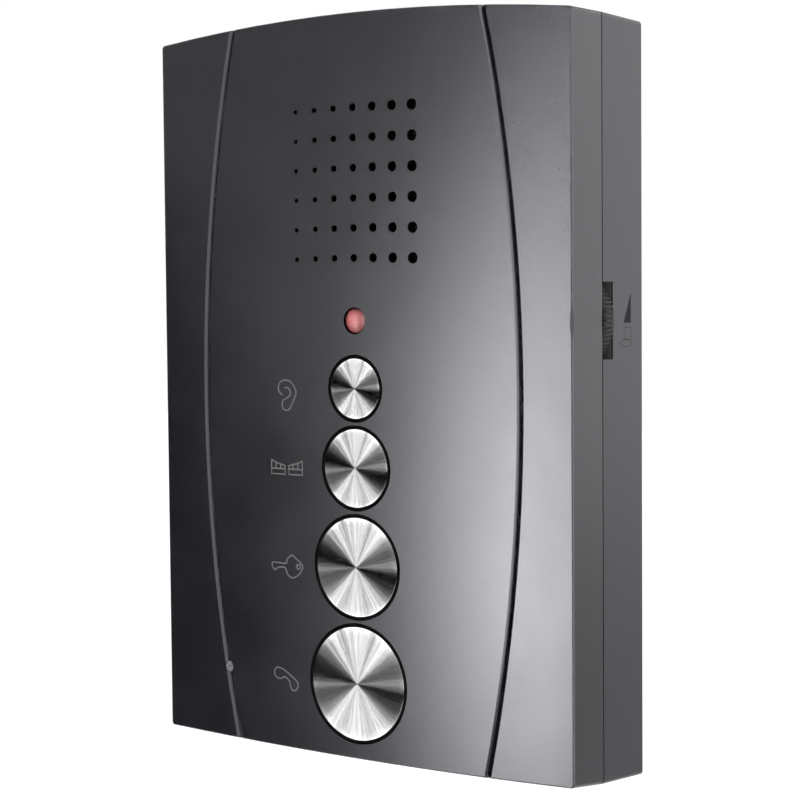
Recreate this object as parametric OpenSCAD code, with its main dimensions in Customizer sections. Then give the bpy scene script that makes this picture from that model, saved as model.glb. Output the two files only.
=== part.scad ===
// Wall-mounted hands-free intercom station: two plastic shells, a loudspeaker behind a
// dotted grille, a status lamp, four round metal push buttons that grow downwards, a
// microphone port and a thumbwheel volume control in the right side.
//
// Frame: origin in the middle of the rear face, on the wall. +X is to the right of the
// person in front, +Y goes into the wall, +Z is up. Depths run back from the front face.

/* [Case] */
// Width of the case
case_w = 105; // [98:0.5:120]
// Depth of the case, from the front face to the wall
case_d = 26.6; // [25:0.1:36]
// Rise of the arched top edge above its two corners
top_arch = 3.1; // [1:0.1:6]
// Drop of the arched bottom edge below its two corners
bottom_arch = 1; // [0.2:0.1:2]
// Corner radius of the case, seen from the front
corner_r = 0.8; // [0.5:0.1:4]
// Rounding of the edge around the front face
edge_r = 0.3; // [0.2:0.05:1.2]
// How far the top edge falls from the seam to the wall
top_fall = 0.5; // [0:0.1:1]
// How far the bottom edge drops from the front face to the seam
seam_drop = 1.35; // [0:0.05:2]
// How far the bottom edge drops from the front face to the wall
bottom_drop = 2.4; // [0:0.1:3]
// Side wall of both shells
wall = 2.2; // [1.8:0.1:3]
// Thickness of the front panel
front_wall = 2.4; // [2:0.1:3]
// Thickness of the back panel
back_wall = 2.4; // [2:0.1:3.5]
// Depth of the seam between the two shells
seam_depth = 11.1; // [10.5:0.1:13]
// Height of the shadow groove that shows at the seam
seam_gap = 0.3; // [0.2:0.05:0.8]
// Depth of the shadow groove, into the wall
seam_rebate = 0.6; // [0.5:0.1:1.2]
// Height of the lip that locates the front shell on the rear one
lip_h = 1.6; // [1:0.1:2.2]
// Thickness of that lip
lip_t = 1.2; // [0.8:0.1:1.6]
// Bare panel between the bottom edge and the largest button
bottom_margin = 3; // [2.7:0.05:8]
// Bare panel between the speaker's rim and the top corners
top_margin = 6.6; // [5:0.1:12]

/* [Front panel grooves] */
// Distance from the side edge to a groove at mid-height
groove_mid_inset = 11.9; // [9:0.1:15]
// Distance from the side edge to a groove at the top and bottom corners
groove_end_inset = 20; // [17:0.1:24]
// Width of a groove, which is V-shaped
groove_w = 1.6; // [0.8:0.1:2]
// Depth of a groove
groove_depth = 1.05; // [0.4:0.05:1.2]

/* [Push buttons] */
// Metal face of the top button, which lets the user listen
listen_d = 12.4; // [10:0.1:15]
// Metal face of the second button, which opens the gate
gate_d = 16.2; // [14:0.1:19]
// Metal face of the third button, which opens the door
door_d = 20.6; // [18:0.1:23]
// Metal face of the bottom button, which starts and ends a talk
talk_d = 23.7; // [20:0.1:27]
// Bare panel between neighbouring metal faces
button_gap = 2.2; // [2:0.1:5]
// Black rim of the carrier around the metal face
carrier_rim = 0.55; // [0.4:0.05:0.6]
// Running gap between the carrier and the panel
button_clear = 0.3; // [0.2:0.05:0.35]
// Thickness of the metal face at its rim
cap_t = 0.9; // [0.6:0.1:1.1]
// Height of the shallow cone of the metal face
cap_crown = 0.25; // [0.1:0.05:0.5]
// How far a button travels
button_travel = 0.8; // [0.4:0.1:1]
// Thickness of the two ears that keep a button in the panel
ear_t = 1.2; // [0.8:0.1:1.6]
// Width of an ear
ear_w = 4.5; // [3:0.1:5]
// Reach of an ear behind the panel, past the hole
ear_reach = 1; // [0.6:0.1:1.5]

/* [Key switches] */
// Side of the square switch body
switch_w = 6.2; // [5:0.1:7]
// Height of a switch, cover plate included
switch_h = 2; // [1.8:0.1:2.6]
// Radius of the switch stem
stem_r = 1.7; // [1.2:0.1:2]

/* [Loudspeaker and grille] */
// Diameter of the loudspeaker
speaker_d = 50; // [45:0.5:57]
// Bare panel between the lamp and the speaker's rim
speaker_gap = 0.8; // [0.5:0.05:3]
// Thickness of the foam ring under the speaker's rim
gasket_t = 1; // [0.6:0.1:1.5]
// Depth of the speaker basket behind its rim
basket_h = 6.5; // [5.5:0.1:8]
// Thickness of the ring magnet
magnet_t = 4.5; // [3:0.1:6]
// Radius of the ring magnet
magnet_r = 12; // [10:0.1:14]
// Columns of grille holes
grille_columns = 7; // [5:1:8]
// Rows of grille holes
grille_rows = 6; // [4:1:7]
// Distance between columns
grille_pitch_x = 5; // [4:0.05:5.2]
// Distance between rows
grille_pitch_z = 6.15; // [4:0.01:6.3]
// Rise of the arched hole rows, if they ran over the whole width of the case
grille_arch = 2.2; // [0:0.1:4]
// Diameter of the holes in the left column
grille_d_left = 1; // [0.7:0.1:2]
// Diameter of the holes in the right column
grille_d_right = 2.4; // [1.5:0.1:3]

/* [Lamp and microphone] */
// Diameter of the status lamp
lamp_d = 5; // [3:0.1:6]
// Bare panel between the top button and the lamp
lamp_gap = 5.3; // [4:0.1:10]
// How far the lamp's dome stands out of the panel
lamp_proud = 0.3; // [0.1:0.1:1]
// How far the rim of the lamp's dome lies behind the panel
lamp_sink = 0.4; // [0.1:0.1:1]
// Diameter of the microphone port
mic_port_d = 2.4; // [1.6:0.1:3]
// How far the nose in the microphone port lies behind the panel
mic_sink = 0.3; // [0.1:0.1:0.8]
// Diameter of the microphone capsule
mic_d = 6; // [4:0.1:7]
// Thickness of the microphone capsule
mic_t = 2.6; // [1.5:0.1:2.8]

/* [Volume wheel] */
// Radius of the wheel over its ribs
wheel_r = 10.5; // [8.5:0.1:11]
// Thickness of the wheel
wheel_t = 3.2; // [2:0.1:4]
// How far the wheel stands out of the side wall
wheel_out = 0.7; // [0.4:0.1:1.5]
// Height of the wheel's middle above the middle of the lamp
wheel_rise = 0; // [-3:0.1:3]
// Number of ribs round the wheel
rib_count = 72; // [36:1:90]
// Depth of the ribs
rib_h = 0.4; // [0.2:0.05:0.6]
// Radius of the wheel's shaft
shaft_r = 2.2; // [1.8:0.1:2.5]
// Radius of the ball-shaped thumb notch in the front edge
notch_r = 20; // [10:0.5:24]
// Depth of the thumb notch, measured to the sharp edge
notch_depth = 0.4; // [0.3:0.05:1]

/* [Circuit board] */
// Thickness of the board
board_t = 1.6; // [1:0.1:2]
// Sideways place of the two upper board bosses
boss_x = 28; // [24:0.5:29]
// Radius of a board boss
boss_r = 2.6; // [2.2:0.1:3.2]
// Number of wire clamps in the terminal block
terminal_ways = 5; // [3:1:6]
// Pitch of the wire clamps
terminal_pitch = 5.08; // [3.5:0.01:5.08]
// Height of the terminal block above the board
terminal_h = 10; // [7:0.1:11]
// Width of the terminal block, along Z
terminal_w = 9; // [7:0.1:11]
// Diameter of the electrolytic capacitors
capacitor_d = 8; // [5:0.1:9]
// Height of the electrolytic capacitors
capacitor_h = 11; // [7:0.1:12]

/* [Screws and wall fixing] */
// Radius of a case screw
case_screw_r = 1.5; // [1.2:0.1:1.7]
// Radius of the head of a case screw
case_head_r = 2.8; // [2.4:0.1:3]
// Wall of the posts around the case screws
post_wall = 1.2; // [1:0.1:2]
// Radius of the board, speaker and wheel screws
small_screw_r = 1; // [0.8:0.05:1.1]
// Radius of the head of a small screw
small_head_r = 2; // [1.6:0.1:2.2]
// Distance between the two keyholes
keyhole_spacing = 100; // [80:1:110]
// Radius of a keyhole's round mouth
keyhole_r = 4.2; // [3.8:0.1:5]
// Radius of a keyhole's narrow slot
keyhole_slot_r = 2.2; // [1.8:0.1:2.6]
// Height of a keyhole's narrow slot
keyhole_rise = 8; // [6:0.1:10]

/* [Clearances] */
// Gap between the lip and the front shell
lip_gap = 0.15; // [0.1:0.05:0.3]
// Gap round a screw in a clearance hole
screw_clear = 0.2; // [0.1:0.05:0.3]
// Gap round a screw in its pilot hole, and round a pin in the board
pilot_clear = 0.05; // [0.02:0.01:0.1]
// Running gap round a shaft or a switch stem
shaft_clear = 0.05; // [0.02:0.01:0.1]
// Gap between neighbouring inner pieces
inner_gap = 0.3; // [0.2:0.05:0.5]

/* [Hidden] */
$fn = 64;

// Front panel layout, from the bottom edge up
button_d = [listen_d, gate_d, door_d, talk_d];
stack_h = bottom_margin + listen_d + gate_d + door_d + talk_d + 3 * button_gap;
case_h = stack_h + lamp_gap + lamp_d + speaker_gap + speaker_d + top_margin;
half_w = case_w / 2;
half_h = case_h / 2;
talk_z = -half_h + bottom_margin + talk_d / 2;
door_z = talk_z + (talk_d + door_d) / 2 + button_gap;
gate_z = door_z + (door_d + gate_d) / 2 + button_gap;
listen_z = gate_z + (gate_d + listen_d) / 2 + button_gap;
button_z = [listen_z, gate_z, door_z, talk_z];
lamp_z = listen_z + listen_d / 2 + lamp_gap + lamp_d / 2;
speaker_r = speaker_d / 2;
speaker_z = lamp_z + lamp_d / 2 + speaker_gap + speaker_r;

// Grooves: arcs of one circle, bowed outwards
groove_mid_x = half_w - groove_mid_inset;
groove_sag = groove_end_inset - groove_mid_inset;
groove_r = (half_h * half_h + groove_sag * groove_sag) / (2 * groove_sag);
groove_axis_x = groove_mid_x - groove_r;
mic_z = talk_z;
mic_x = -(groove_axis_x + sqrt(groove_r * groove_r - mic_z * mic_z));

// Depths behind the front face
ear_gap = 0.1;
ear_front = front_wall + ear_gap;
carrier_depth = ear_front + ear_t;
stem_out = button_travel + inner_gap;
switch_plate_t = 0.2;
switch_top = carrier_depth + stem_out;
board_front = switch_top + switch_h;
board_rear = board_front + board_t;
cloth_t = 0.4;
rim_t = 0.8;
rim_front = front_wall + cloth_t + gasket_t;
rim_rear = rim_front + rim_t;
basket_rear = rim_front + basket_h;
base_front = seam_depth + seam_gap;
wheel_front = base_front + inner_gap;
wheel_rear = wheel_front + wheel_t;
slot_end = wheel_rear + inner_gap;
back_inner = case_d - back_wall;

// Places inside the case
board_margin = wall + lip_gap + lip_t + inner_gap;
post_r = case_head_r + screw_clear + post_wall;
post_x = half_w - board_margin - post_r;
post_z = half_h - board_margin - post_r;
case_head_h = 1.8;
case_screw_grip = 7;
case_screw_bite = 6;
screw_seat = seam_depth + case_screw_grip;
screw_tip = seam_depth - case_screw_bite;
pilot_floor = 0.5;
post_root = front_wall - 0.6;
boss_room = 5;
boss_drop = 2;
lower_boss_x = talk_d / 2 + carrier_rim + button_clear + ear_reach + boss_room + boss_r;
lower_boss_z = talk_z - boss_drop;
boss_places = [
    [-boss_x, lamp_z], [boss_x, lamp_z], [-lower_boss_x, lower_boss_z], [lower_boss_x, lower_boss_z]
];
speaker_post_r = small_screw_r + post_wall;
clamp_r = speaker_r + inner_gap + speaker_post_r;
clamp_angles = [45, 135, 225, 315];
washer_lap = 1.8;
washer_r = speaker_post_r + washer_lap;
washer_t = 0.6;
small_head_h = 1.2;
wheel_x = half_w + wheel_out - wheel_r;
wheel_z = lamp_z + wheel_rise;
wheel_reach = wheel_r - wheel_out - wall;
wheel_end_gap = 0.4;
wheel_lap = 1;
slot_half = sqrt(wheel_r * wheel_r - wheel_reach * wheel_reach) + wheel_end_gap;
pot_gap = 0.5;
pot_r = wheel_reach - pot_gap;
pot_floor = 0.4;
pot_pin_places = [for (i = [-1, 0, 1]) [wheel_x - pot_r / 2, wheel_z + i * pot_r / 2]];
pin_r = 0.35;
pin_out = 1;
lamp_pin_x = lamp_d / 4;
mic_pin_x = mic_d / 4;
terminal_z = (gate_z + door_z) / 2;
terminal_l = terminal_ways * terminal_pitch;
terminal_rear = board_rear + terminal_h;
terminal_x = [for (i = [0 : terminal_ways - 1]) (i - (terminal_ways - 1) / 2) * terminal_pitch];
window_side = 2;
window_lift = 3;
window_x = terminal_l / 2 + window_side;
window_z = terminal_w / 2 + window_lift;
side_gap = 6;
capacitor_gap = 3;
side_x = window_x + capacitor_d / 2 + side_gap;
second_row_z = terminal_z - capacitor_d - capacitor_gap;
capacitor_places = [
    [side_x, terminal_z], [side_x, second_row_z], [-side_x, second_row_z]
];
chip_w = 6;
chip_l = 9;
chip_h = 1.8;
chip_lift = 0.2;
chip_z = terminal_z + side_gap;
leg_l = 1.2;
leg_w = 0.5;
resistor_size = [1.6, 0.6, 3.2];
resistor_pitch = [3, 4];
well_r = 0.36 * terminal_pitch;
well_depth = 4;
clamp_recess = 1;
clamp_slot = [0.6, 0.8];
wire_hole = 0.6 * terminal_pitch;
wire_floor = 1.5;

// Speaker parts
rim_w = 2.2;
basket_ledge = 3.3;
cone_r = speaker_r - rim_w;
basket_back_r = magnet_r + basket_ledge;
sheet_t = 0.8;
coil_r = 6.8;
coil_t = 0.5;
cone_t = 0.4;
cone_front = rim_front + inner_gap;
coil_neck = 1.2;
cone_rear = basket_rear - sheet_t - coil_neck;
mouth_rear = cone_front + cone_t + inner_gap;
yoke_t = 1.5;
magnet_rear = basket_rear + magnet_t;
tab_t = 1;
tab_w = 2.8;
tab_z = speaker_z - magnet_r - basket_ledge / 2;
lead_r = 0.6;
lead_x = 4;
lead_drop = 3;
lead_end_z = lamp_z - lead_drop;

// Small features
over = 1;
skin = 0.01;
cap_chamfer = 0.25;
carrier_plate = 1.2;
carrier_skirt = 1.1;
pad_wall = 0.8;
boot_wall = 1.4;
boot_front = 0.8;
nose_clear = 0.1;
pinhole_r = 0.2;
lamp_foot = 1;
switch_floor = 0.2;
lip_root_h = 2.5;
lip_weld = 0.1;
board_edge = 4.5;

// Colours
graphite = [0.24, 0.24, 0.25];
shell_grey = [0.38, 0.39, 0.38];
black = [0.05, 0.05, 0.05];
steel = [0.7, 0.7, 0.72];
spun_metal = [0.85, 0.85, 0.86];
brass = [0.8, 0.65, 0.3];

// Points of an arc about (cx, cz), both ends included
function arc(cx, cz, r, a0, a1, n) =
    [for (k = [0 : n]) let (a = a0 + (a1 - a0) * k / n) [cx + r * cos(a), cz + r * sin(a)]];

// Right-hand half of an arched edge with its rounded corner, moved in by inset. The corner
// circle touches the straight side and the arch, whose circle passes through the corners.
function arched_edge(rise, inset) =
    let (
        arch_r = (half_w * half_w + rise * rise) / (2 * rise),
        arch_z = half_h + rise - arch_r,
        r = max(corner_r - inset, 0.1),
        cx = half_w - inset - r,
        cz = arch_z + sqrt(pow(arch_r - inset - r, 2) - cx * cx),
        touch = atan2(cz - arch_z, cx)
    )
    concat(arc(cx, cz, r, 0, touch, 5), [
        for (k = [1 : 11]) let (a = touch + (180 - 2 * touch) * k / 12)
        [(arch_r - inset) * cos(a), arch_z + (arch_r - inset) * sin(a)]
    ], arc(-cx, cz, r, 180 - touch, 180, 5));

// Outline of the case seen from the front, moved in by inset, with a fallen top and a dropped bottom
function outline(inset, fall = 0, drop = 0) = concat(
    [for (p = arched_edge(top_arch, inset)) p - [0, fall]],
    [for (p = arched_edge(bottom_arch, inset)) -p - [0, drop]]
);

// Drop of the rear shell's bottom edge at a depth
function drop_at(depth) =
    seam_drop + (bottom_drop - seam_drop) * (depth - seam_depth) / (case_d - seam_depth);

// Moves to a place on the panel at a depth behind the front face
module at(x, z, depth) translate([x, depth - case_d, z]) children();

// Round bar along +Y between two depths
module bar(x, z, r, from, to) at(x, z, from) rotate([-90, 0, 0]) cylinder(r = r, h = to - from);

// Box centred on (x, z) between two depths
module block(x, z, w, h, from, to) at(x - w / 2, z - h / 2, from) cube([w, to - from, h]);

// Slice of the case outline between two depths
module slice(inset, from, to, fall = 0, drop = 0)
    at(0, 0, to) rotate([90, 0, 0]) linear_extrude(to - from) polygon(outline(inset, fall, drop));

// Turned shape about an axis along +Y through (x, z), from a profile of [radius, depth]
module turned(x, z, profile)
    at(x, z, 0) rotate([-90, 0, 0]) rotate_extrude() polygon(profile);

// Arc groove in the front panel, on the right or, with side -1, on the left
module groove(side)
    at(side * groove_axis_x, 0, 0) rotate([-90, 0, 0]) rotate_extrude($fn = 256)
        polygon([
            [groove_r - groove_w / 2, -over], [groove_r + groove_w / 2, -over],
            [groove_r + groove_w / 2, 0], [groove_r, groove_depth], [groove_r - groove_w / 2, 0]
        ]);

// Front shell's outer form: a rounded front edge, then drafted sides to the seam
module front_form() hull() {
    for (t = [0 : 30 : 90]) {
        depth = edge_r * (1 - cos(t));
        slice(edge_r * (1 - sin(t)), depth, depth + skin);
    }
    slice(0, seam_depth - skin, seam_depth, 0, seam_drop);
}

// Rear shell's outer form, drafted from the seam to the wall
module rear_form() hull() {
    slice(0, base_front, base_front + skin, 0, drop_at(base_front));
    slice(0, case_d - skin, case_d, top_fall, bottom_drop);
}

function grille_r(column) =
    (grille_d_left + (grille_d_right - grille_d_left) * column / (grille_columns - 1)) / 2;

// Drop of the arched hole rows at a column
function row_drop(column) =
    grille_arch * pow((column - (grille_columns - 1) / 2) * grille_pitch_x / half_w, 2);

function clamp_place(a) = [clamp_r * cos(a), speaker_z + clamp_r * sin(a)];

function hole_r(i) = button_d[i] / 2 + carrier_rim + button_clear;

function corners() = [for (sx = [-1, 1], sz = [-1, 1]) [sx * post_x, sz * post_z]];

// Front shell
module front_cover() color(graphite) difference() {
    union() {
        difference() {
            front_form();
            slice(wall, front_wall, seam_depth + over);
        }
        for (p = corners()) bar(p[0], p[1], post_r, post_root, seam_depth);
        for (p = boss_places) bar(p[0], p[1], boss_r, post_root, board_front);
        for (a = clamp_angles)
            bar(clamp_place(a)[0], clamp_place(a)[1], speaker_post_r, post_root, rim_rear);
    }
    for (p = corners())
        bar(p[0], p[1], case_screw_r + pilot_clear, screw_tip - pilot_floor, seam_depth + over);
    for (p = boss_places)
        bar(p[0], p[1], small_screw_r + pilot_clear, front_wall, board_front + over);
    for (a = clamp_angles)
        bar(clamp_place(a)[0], clamp_place(a)[1], small_screw_r + pilot_clear, front_wall - pilot_floor,
            rim_rear + over);
    for (i = [0 : 3]) bar(0, button_z[i], hole_r(i), -over, front_wall + over);
    for (column = [0 : grille_columns - 1], row = [0 : grille_rows - 1])
        bar((column - (grille_columns - 1) / 2) * grille_pitch_x,
            speaker_z + (row - (grille_rows - 1) / 2) * grille_pitch_z - row_drop(column),
            grille_r(column), -over, front_wall + over, $fn = 24);
    bar(0, lamp_z, lamp_d / 2 + inner_gap, -over, front_wall + over);
    bar(mic_x, mic_z, mic_port_d / 2, -over, front_wall + over);
    groove(1);
    groove(-1);
    notch_k = (notch_r - notch_depth) / sqrt(2);
    at(half_w + notch_k, wheel_z, -notch_k) sphere(r = notch_r);
}

// Rear shell with its lip, screw posts, wheel slot and pocket, keyholes and terminal window
module rear_base() color(shell_grey) difference() {
    lip_in = wall + lip_gap + lip_t;
    lip_root = base_front + lip_root_h;
    union() {
        difference() {
            union() {
                rear_form();
                slice(seam_rebate, seam_depth, base_front + over, 0, seam_drop);
            }
            slice(wall, seam_depth - over, back_inner);
        }
        difference() {
            union() {
                slice(wall + lip_gap, seam_depth - lip_h, lip_root);
                slice(wall - lip_weld, seam_depth, lip_root);
            }
            slice(lip_in, seam_depth - lip_h - over, lip_root + over);
        }
        for (p = corners()) bar(p[0], p[1], post_r, seam_depth, case_d - back_wall / 2);
    }
    for (p = corners()) {
        bar(p[0], p[1], case_screw_r + screw_clear, seam_depth - over, case_d);
        bar(p[0], p[1], case_head_r + screw_clear, screw_seat, case_d + over);
    }
    slot_from = seam_depth - lip_h - over;
    at(half_w - lip_in - over, wheel_z - slot_half, slot_from)
        cube([lip_in + 2 * over, slot_end - slot_from, 2 * slot_half]);
    bar(wheel_x, wheel_z, wheel_r + wheel_end_gap, slot_from, slot_end);
    for (s = [-1, 1]) {
        z = s * keyhole_spacing / 2;
        bar(0, z, keyhole_r, back_inner - over, case_d + over);
        bar(0, z + keyhole_rise, keyhole_slot_r, back_inner - over, case_d + over);
        block(0, z + keyhole_rise / 2, 2 * keyhole_slot_r, keyhole_rise, back_inner - over, case_d + over);
    }
    block(0, terminal_z, 2 * window_x, 2 * window_z, back_inner - over, case_d + over);
}

// Cross slot in a screw head, cut from the head's rear face
module cross_slot(x, z, r, rear) {
    long = 1.3 * r;
    narrow = 0.3 * r;
    deep = 0.4 * r;
    block(x, z, long, narrow, rear - deep, rear + over);
    block(x, z, narrow, long, rear - deep, rear + over);
}

// Cross-head screw driven from the back, seated at a depth
module screw(x, z, r, head_r, head_h, tip, seat) difference() {
    union() {
        bar(x, z, r, tip, seat + head_h / 2);
        bar(x, z, head_r, seat, seat + head_h);
    }
    cross_slot(x, z, head_r, seat + head_h);
}

module case_screws() color(steel)
    for (p = corners()) screw(p[0], p[1], case_screw_r, case_head_r, case_head_h, screw_tip, screw_seat);

module grille_cloth() color(black)
    bar(0, speaker_z, speaker_r - inner_gap, front_wall, front_wall + cloth_t);

module speaker_gasket() color([0.15, 0.15, 0.15]) difference() {
    bar(0, speaker_z, speaker_r, rim_front - gasket_t, rim_front);
    bar(0, speaker_z, cone_r, rim_front - gasket_t - over, rim_front + over);
}

// Pressed steel basket: flat rim, short straight mouth, conical wall, flat back with a hole
module speaker_frame() color(steel) turned(0, speaker_z, [
    [cone_r, rim_front], [speaker_r, rim_front], [speaker_r, rim_rear], [cone_r + sheet_t, rim_rear],
    [cone_r + sheet_t, mouth_rear], [basket_back_r, basket_rear], [coil_r + sheet_t, basket_rear],
    [coil_r + sheet_t, basket_rear - sheet_t], [basket_back_r - sheet_t, basket_rear - sheet_t],
    [cone_r, mouth_rear]
]);

// Paper cone, from the rim down to the coil
module speaker_cone() color([0.12, 0.12, 0.12]) turned(0, speaker_z, [
    [cone_r - pilot_clear, cone_front], [cone_r - pilot_clear, cone_front + cone_t],
    [coil_r, cone_rear + cone_t], [coil_r, cone_rear]
]);

// Domed cap over the mouth of the coil
module speaker_dust_cap() color(black) difference() {
    dome_r = 1.3 * coil_r;
    dome_depth = cone_rear + sqrt(dome_r * dome_r - coil_r * coil_r);
    intersection() {
        at(0, speaker_z, dome_depth) sphere(r = dome_r);
        bar(0, speaker_z, coil_r - coil_t, cone_front, cone_rear);
    }
    at(0, speaker_z, dome_depth) sphere(r = dome_r - cone_t);
}

module voice_coil() color([0.7, 0.4, 0.2]) difference() {
    bar(0, speaker_z, coil_r, cone_rear, magnet_rear - coil_neck);
    bar(0, speaker_z, coil_r - coil_t, cone_rear - over, magnet_rear);
}

module speaker_magnet() color([0.2, 0.2, 0.22]) difference() {
    bar(0, speaker_z, magnet_r, basket_rear, magnet_rear);
    bar(0, speaker_z, coil_r + sheet_t, basket_rear - over, magnet_rear + over);
}

// Back plate of the magnet with the pole that stands in the coil
module speaker_yoke() color(steel) union() {
    bar(0, speaker_z, magnet_r, magnet_rear, magnet_rear + yoke_t);
    bar(0, speaker_z, coil_r - coil_t - inner_gap, basket_rear - sheet_t, magnet_rear + yoke_t / 2);
}

// Strip on the back of the basket where the leads are soldered
module speaker_tabs() color([0.6, 0.45, 0.25])
    block(0, tab_z, 2 * lead_x + tab_w, tab_w, basket_rear, basket_rear + tab_t);

// Two leads that loop from the strip to the back of the board
module speaker_leads() color([0.7, 0.1, 0.1]) {
    start = basket_rear + tab_t;
    loop_r = (tab_z - lead_end_z) / 2;
    for (s = [-1, 1]) union() {
        at(s * lead_x, lead_end_z + loop_r, start) rotate([0, -90, 0])
            rotate_extrude(angle = 180) translate([loop_r, 0]) circle(r = lead_r);
        bar(s * lead_x, lead_end_z, lead_r, board_rear, start);
    }
}

module speaker_washers() color(steel) for (a = clamp_angles) difference() {
    bar(clamp_place(a)[0], clamp_place(a)[1], washer_r, rim_rear, rim_rear + washer_t);
    bar(clamp_place(a)[0], clamp_place(a)[1], small_screw_r + screw_clear, rim_rear - over,
        rim_rear + washer_t + over);
}

module speaker_screws() color(steel) for (a = clamp_angles)
    screw(clamp_place(a)[0], clamp_place(a)[1], small_screw_r, small_head_r, small_head_h,
        front_wall, rim_rear + washer_t);

// Board, cut back round the speaker and the case posts and drilled for screws and pins
module circuit_board() color([0.1, 0.35, 0.2]) difference() {
    low = -half_h + board_margin;
    high = lamp_z + lamp_d / 2 + inner_gap + board_edge;
    block(0, (low + high) / 2, case_w - 2 * board_margin, high - low, board_front, board_rear);
    bar(0, speaker_z, cone_r + sheet_t, board_front - over, board_rear + over);
    notch = 2 * (post_r + inner_gap);
    for (p = corners()) block(p[0], p[1], notch, notch, board_front - over, board_rear + over);
    for (p = boss_places)
        bar(p[0], p[1], small_screw_r + screw_clear, board_front - over, board_rear + over);
    for (p = pin_places())
        bar(p[0], p[1], pin_r + pilot_clear, board_front - over, board_rear + over, $fn = 24);
}

module board_screws() color(steel) for (p = boss_places)
    screw(p[0], p[1], small_screw_r, small_head_r, small_head_h, front_wall + pilot_floor, board_rear);

function lamp_pins() = [for (s = [-1, 1]) [s * lamp_pin_x, lamp_z]];
function mic_pins_at() = [for (s = [-1, 1]) [mic_x + s * mic_pin_x, mic_z]];
function terminal_pins_at() = [for (x = terminal_x) [x, terminal_z]];
function pin_places() = concat(lamp_pins(), mic_pins_at(), terminal_pins_at(), pot_pin_places);

// Lamp: body with a shallow dome, and a foot that stands on the board
module status_lamp() color([0.75, 0.25, 0.25]) union() {
    lens_r = lamp_d / 2;
    dome_h = lamp_proud + lamp_sink;
    dome_r = (lens_r * lens_r + dome_h * dome_h) / (2 * dome_h);
    intersection() {
        at(0, lamp_z, dome_r - lamp_proud) sphere(r = dome_r);
        bar(0, lamp_z, lens_r, -lamp_proud - over, lamp_sink + over);
    }
    bar(0, lamp_z, lens_r, lamp_sink + over / 2, board_front);
    bar(0, lamp_z, lens_r + inner_gap, board_front - lamp_foot, board_front);
}

module lamp_legs() color(steel)
    for (p = lamp_pins()) bar(p[0], p[1], pin_r, board_front, board_rear + 2 * pin_out);

// Rubber boot that holds the microphone behind its port, with a nose that fills the port
module mic_boot() color([0.45, 0.45, 0.45]) difference() {
    boot_r = mic_d / 2 + boot_wall;
    nose_r = mic_port_d / 2 - nose_clear;
    union() {
        bar(mic_x, mic_z, boot_r, front_wall, board_front);
        bar(mic_x, mic_z, nose_r, mic_sink, front_wall + boot_front / 2);
    }
    bar(mic_x, mic_z, mic_d / 2 + pilot_clear, front_wall + boot_front, board_front + over);
    bar(mic_x, mic_z, pinhole_r, 0, front_wall + boot_front + over, $fn = 24);
}

module mic_capsule() color(steel)
    bar(mic_x, mic_z, mic_d / 2, front_wall + boot_front, front_wall + boot_front + mic_t);

module mic_pins() color(brass) for (p = mic_pins_at())
    bar(p[0], p[1], pin_r, front_wall + boot_front + mic_t, board_rear + pin_out);

// Square key switch bodies with a blind hole for the stem
module switch_bodies() color(black) for (z = button_z) difference() {
    block(0, z, switch_w, switch_w, switch_top + switch_plate_t, board_front);
    bar(0, z, stem_r + shaft_clear, switch_top - over, board_front - switch_floor);
}

module switch_plates() color(steel) for (z = button_z) difference() {
    block(0, z, switch_w, switch_w, switch_top, switch_top + switch_plate_t);
    bar(0, z, stem_r + inner_gap, switch_top - over, switch_top + over);
}

// Spun metal face: a shallow cone with a chamfered rim
module button_cap(i) color(spun_metal) {
    r = button_d[i] / 2;
    turned(0, button_z[i],
        [[0, -cap_crown], [r - cap_chamfer, 0], [r, cap_chamfer], [r, cap_t], [0, cap_t]]);
}

// Black carrier: a cup round the metal face, a pad for the switch and two side ears
module button_carrier(i) color(black) difference() {
    face_r = button_d[i] / 2;
    r = face_r + carrier_rim;
    plate_rear = cap_t + carrier_plate;
    union() {
        bar(0, button_z[i], r, 0, carrier_depth);
        block(0, button_z[i], 2 * (hole_r(i) + ear_reach), ear_w, ear_front, carrier_depth);
    }
    bar(0, button_z[i], face_r + pilot_clear, -over, cap_t);
    difference() {
        bar(0, button_z[i], r - carrier_skirt, plate_rear, carrier_depth + over);
        bar(0, button_z[i], stem_r + pad_wall, plate_rear - over, carrier_depth + 2 * over);
    }
}

// Stem of the key switch, which moves with the button
module switch_stem(i) color([0.8, 0.8, 0.75])
    bar(0, button_z[i], stem_r, carrier_depth, switch_top + switch_h - button_travel - inner_gap);

module listen_cap() button_cap(0);
module listen_carrier() button_carrier(0);
module listen_stem() switch_stem(0);
module gate_cap() button_cap(1);
module gate_carrier() button_carrier(1);
module gate_stem() switch_stem(1);
module door_cap() button_cap(2);
module door_carrier() button_carrier(2);
module door_stem() switch_stem(2);
module talk_cap() button_cap(3);
module talk_carrier() button_carrier(3);
module talk_stem() switch_stem(3);

// Round potentiometer body on the back of the board
module volume_pot() color([0.3, 0.3, 0.32]) difference() {
    bar(wheel_x, wheel_z, pot_r, board_rear, wheel_front - inner_gap);
    bar(wheel_x, wheel_z, shaft_r + shaft_clear, board_rear + pot_floor, wheel_front);
}

module pot_pins() color(brass)
    for (p = pot_pin_places) bar(p[0], p[1], pin_r, board_front - pin_out, board_rear);

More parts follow.
